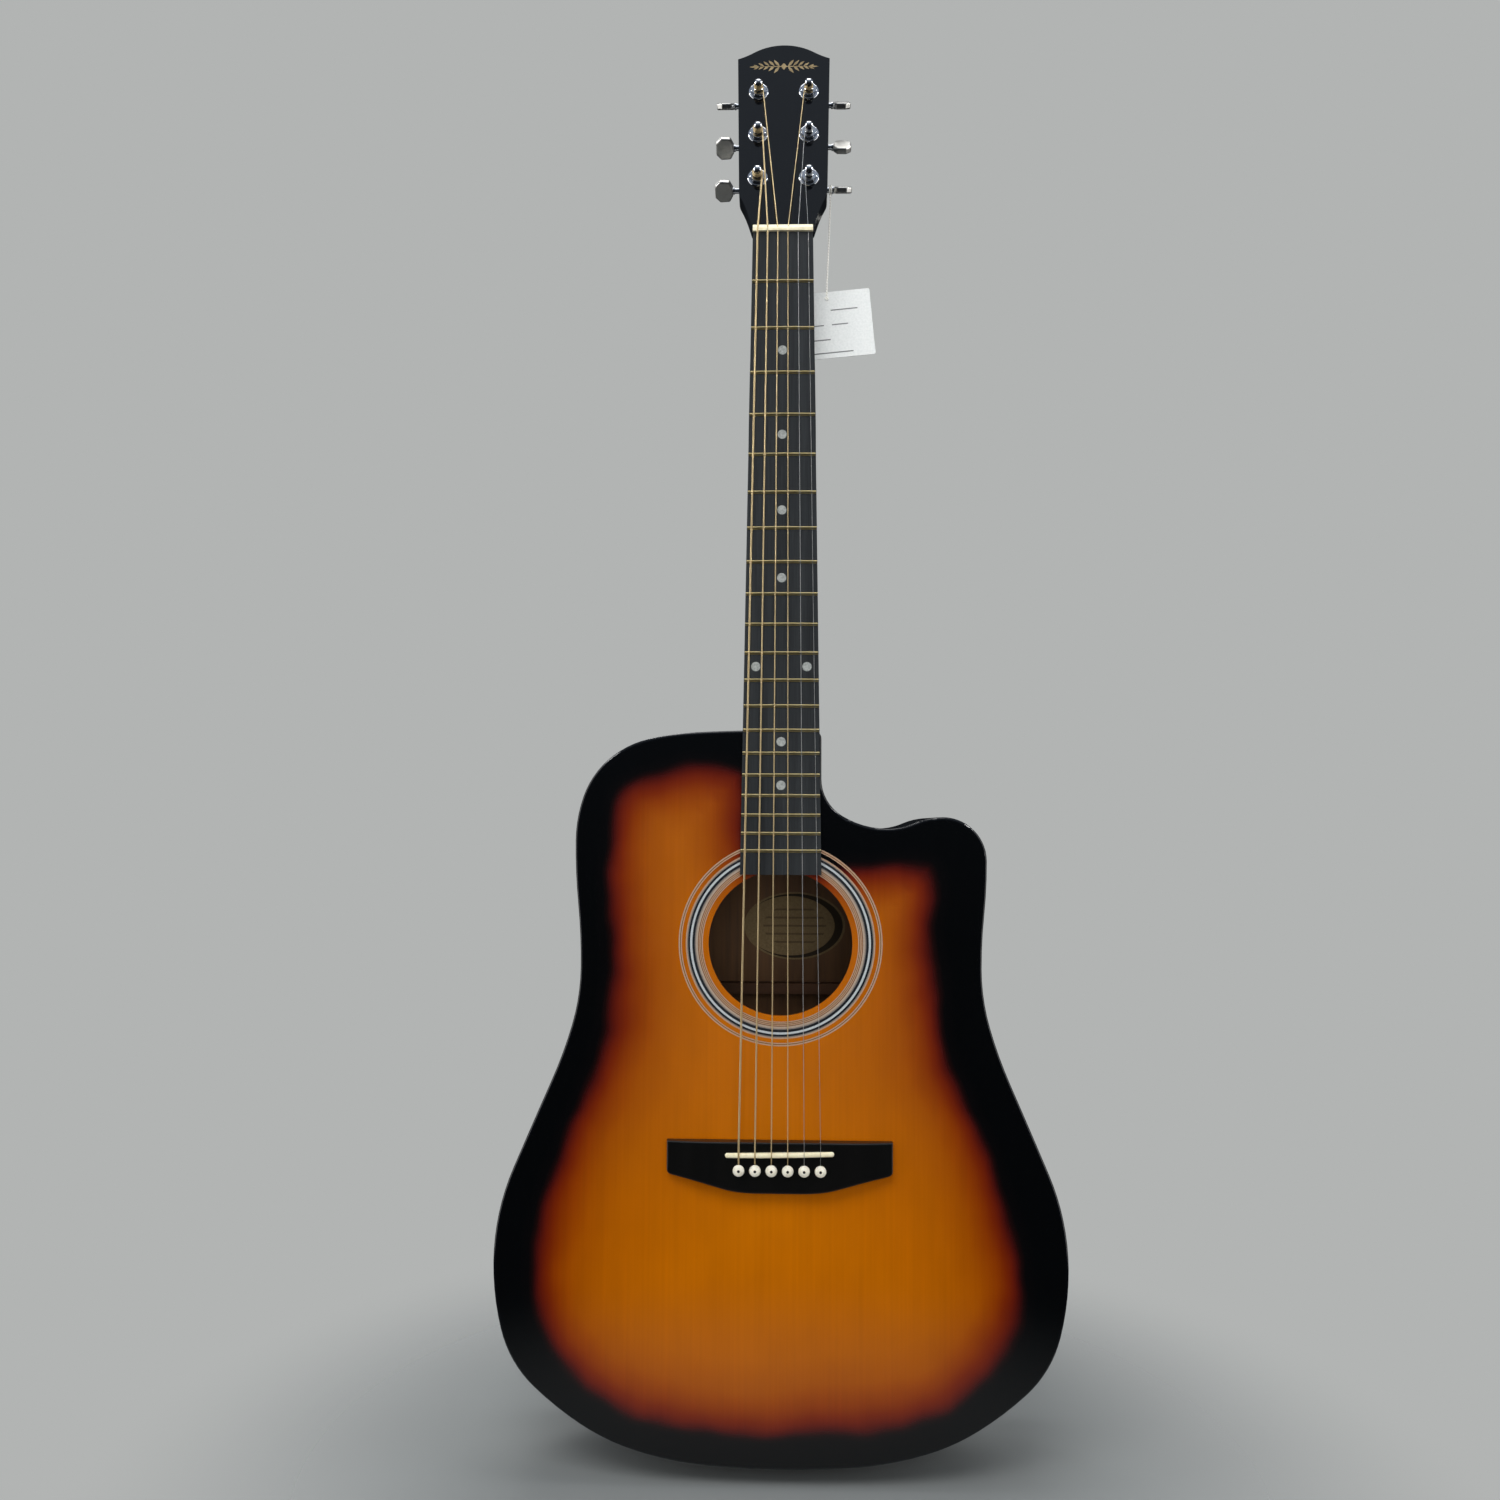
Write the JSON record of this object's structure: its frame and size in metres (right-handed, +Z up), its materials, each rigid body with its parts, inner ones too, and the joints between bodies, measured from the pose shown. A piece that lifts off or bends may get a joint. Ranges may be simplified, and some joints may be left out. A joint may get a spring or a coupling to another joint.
{
  "type": "acoustic guitar",
  "caption": "Steel-string acoustic guitar with a cutaway dreadnought body, sunburst top, geared tuners that turn their string posts, and a small hanging tag.",
  "frame": {"origin": "centre line of the neck at the nut's front face, in the plane of the soundboard's outer face, where the yoke of a hanger holds the neck", "axes": "+Z up the neck towards the headstock, +X towards the treble side, -Y out of the soundboard towards the player's view of the strings"},
  "size_m": [0.3946, 0.1328, 1.0387],
  "materials": {
    "sunburst_top": "gloss lacquer over spruce, amber centre to black edge",
    "black_lacquer": "black gloss lacquer",
    "rosette_inlay": "black and white rings under gloss",
    "inside_wood": "bare",
    "label_paper": "matte",
    "black_plastic": "satin",
    "black_rosewood": "satin, dyed black",
    "ivory_plastic": "satin",
    "brass_ball": "bright",
    "bronze_wire": "wound wire",
    "steel_wire": "bright wire",
    "fret_wire": "polished",
    "pearl_dot": "pearly",
    "rod_steel": "dark steel",
    "tuner_chrome": "polished",
    "button_satin": "satin",
    "tag_card": "matte white card",
    "thread_cotton": "cotton thread"
  },
  "bodies": {
    "guitar": {"soundboard": "sunburst_top", "rosette": "rosette_inlay", "back_plate": "black_lacquer", "top_binding": "black_lacquer", "back_binding": "black_lacquer", "rib_bass": "black_lacquer", "rib_treble": "black_lacquer", "kerfed_linings": "inside_wood", "neck_block": "inside_wood", "tail_block": "inside_wood", "soundboard_braces": "inside_wood", "bridge_plate": "inside_wood", "back_braces": "inside_wood", "paper_label": "label_paper", "end_pin": "black_plastic", "bridge": "black_rosewood", "saddle": "ivory_plastic", "bridge_pins": "ivory_plastic", "ball_ends": "brass_ball", "wound_strings": "bronze_wire", "plain_strings": "steel_wire", "fretboard": "black_rosewood", "frets": "fret_wire", "position_dots": "pearl_dot", "nut": "ivory_plastic", "neck": "black_lacquer", "headstock_overlay": "black_lacquer", "heel_cap": "black_lacquer", "truss_rod": "rod_steel", "tuner_housings": "tuner_chrome", "tuner_bushings": "tuner_chrome", "tuner_washers": "tuner_chrome", "tuner_screws": "tuner_chrome", "hang_tag": "tag_card", "tag_thread": "thread_cotton"},
    "truss_rod_nut": {"truss_rod_nut": "rod_steel"},
    "knob_1": {"tuner_button_1": "button_satin", "tuner_worm_1": "tuner_chrome"},
    "post_1": {"tuner_post_1": "tuner_chrome", "string_winding_1": "bronze_wire"},
    "knob_2": {"tuner_button_2": "button_satin", "tuner_worm_2": "tuner_chrome"},
    "post_2": {"tuner_post_2": "tuner_chrome", "string_winding_2": "bronze_wire"},
    "knob_3": {"tuner_button_3": "button_satin", "tuner_worm_3": "tuner_chrome"},
    "post_3": {"tuner_post_3": "tuner_chrome", "string_winding_3": "bronze_wire"},
    "knob_4": {"tuner_button_4": "button_satin", "tuner_worm_4": "tuner_chrome"},
    "post_4": {"tuner_post_4": "tuner_chrome", "string_winding_4": "bronze_wire"},
    "knob_5": {"tuner_button_5": "button_satin", "tuner_worm_5": "tuner_chrome"},
    "post_5": {"tuner_post_5": "tuner_chrome", "string_winding_5": "steel_wire"},
    "knob_6": {"tuner_button_6": "button_satin", "tuner_worm_6": "tuner_chrome"},
    "post_6": {"tuner_post_6": "tuner_chrome", "string_winding_6": "steel_wire"}
  },
  "joints": [
    {"name": "truss_rod_turn", "type": "hinge", "parent": "guitar", "child": "truss_rod_nut", "pos_m": [0, 0.009, -0.393], "axis": [0, 0, -1], "range_deg": [-360, 360]},
    {"name": "knob_1_turn", "type": "hinge", "parent": "guitar", "child": "knob_1", "pos_m": [-0.0277, 0.03155, 0.04887], "axis": [-1, 0, 0], "continuous": true},
    {"name": "post_1_turn", "type": "hinge", "parent": "guitar", "child": "post_1", "pos_m": [-0.0187, 0.03017, 0.04334], "axis": [0, -0.9703, 0.2419], "continuous": true},
    {"name": "knob_2_turn", "type": "hinge", "parent": "guitar", "child": "knob_2", "pos_m": [-0.0277, 0.04099, 0.08671], "axis": [-1, 0, 0], "continuous": true},
    {"name": "post_2_turn", "type": "hinge", "parent": "guitar", "child": "post_2", "pos_m": [-0.0187, 0.03961, 0.08118], "axis": [0, -0.9703, 0.2419], "continuous": true},
    {"name": "knob_3_turn", "type": "hinge", "parent": "guitar", "child": "knob_3", "pos_m": [-0.0277, 0.05042, 0.12455], "axis": [-1, 0, 0], "continuous": true},
    {"name": "post_3_turn", "type": "hinge", "parent": "guitar", "child": "post_3", "pos_m": [-0.0187, 0.04904, 0.11902], "axis": [0, -0.9703, 0.2419], "continuous": true},
    {"name": "knob_4_turn", "type": "hinge", "parent": "guitar", "child": "knob_4", "pos_m": [0.0277, 0.05042, 0.12455], "axis": [1, 0, 0], "continuous": true},
    {"name": "post_4_turn", "type": "hinge", "parent": "guitar", "child": "post_4", "pos_m": [0.0187, 0.04904, 0.11902], "axis": [0, -0.9703, 0.2419], "continuous": true},
    {"name": "knob_5_turn", "type": "hinge", "parent": "guitar", "child": "knob_5", "pos_m": [0.0277, 0.04099, 0.08671], "axis": [1, 0, 0], "continuous": true},
    {"name": "post_5_turn", "type": "hinge", "parent": "guitar", "child": "post_5", "pos_m": [0.0187, 0.03961, 0.08118], "axis": [0, -0.9703, 0.2419], "continuous": true},
    {"name": "knob_6_turn", "type": "hinge", "parent": "guitar", "child": "knob_6", "pos_m": [0.0277, 0.03155, 0.04887], "axis": [1, 0, 0], "continuous": true},
    {"name": "post_6_turn", "type": "hinge", "parent": "guitar", "child": "post_6", "pos_m": [0.0187, 0.03017, 0.04334], "axis": [0, -0.9703, 0.2419], "continuous": true}
  ],
  "couplings": [
    {"joint": "post_1_turn", "follows": "knob_1_turn", "ratio": 0.071429},
    {"joint": "post_2_turn", "follows": "knob_2_turn", "ratio": 0.071429},
    {"joint": "post_3_turn", "follows": "knob_3_turn", "ratio": 0.071429},
    {"joint": "post_4_turn", "follows": "knob_4_turn", "ratio": 0.071429},
    {"joint": "post_5_turn", "follows": "knob_5_turn", "ratio": 0.071429},
    {"joint": "post_6_turn", "follows": "knob_6_turn", "ratio": 0.071429}
  ]
}
